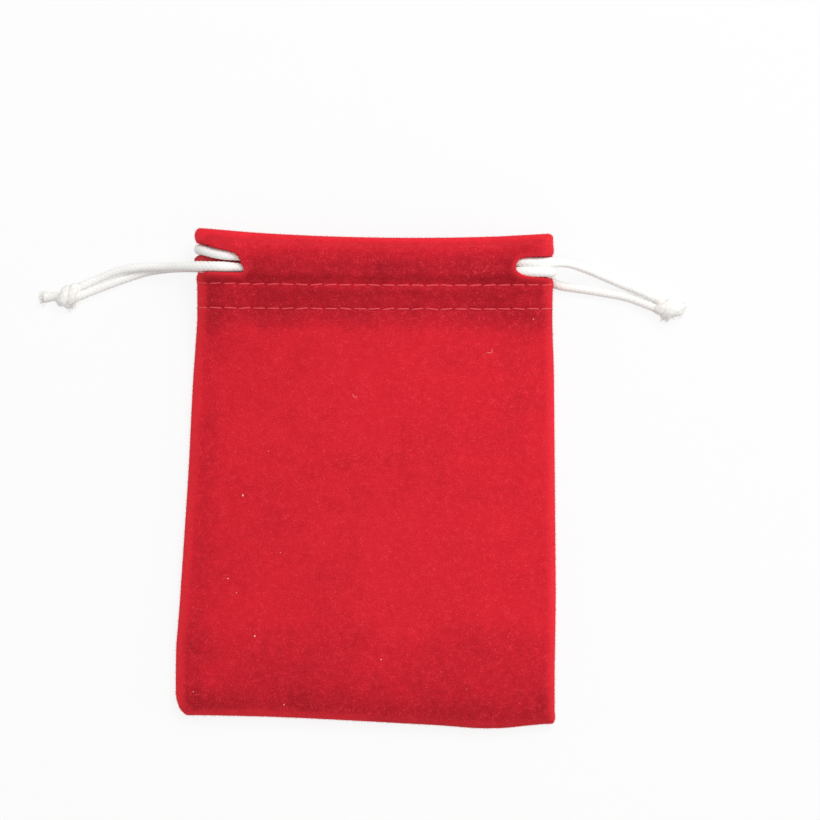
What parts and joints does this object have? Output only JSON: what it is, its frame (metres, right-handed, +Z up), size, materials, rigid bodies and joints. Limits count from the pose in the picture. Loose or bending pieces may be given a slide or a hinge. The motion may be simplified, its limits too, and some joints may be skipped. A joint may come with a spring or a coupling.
{
  "type": "drawstring pouch",
  "caption": "Small flat velvet pouch lying on its back, with a sewn cord tunnel at the mouth and braided cords drawn out and knotted at both sides.",
  "frame": {"origin": "centre of the pouch's own footprint, cords left out, on the surface it lies on", "axes": "+Y from the bottom seam towards the mouth, +X to the right seen from the front, +Z up out of the front panel"},
  "size_m": [0.1581, 0.123, 0.0134],
  "materials": {
    "velvet": "short-pile red velvet",
    "cord": "cream braided cord"
  },
  "bodies": {
    "root": {"pouch": "velvet", "drawstring_left": "cord", "drawstring_right": "cord", "knot_left": "cord", "knot_right": "cord"}
  },
  "joints": []
}
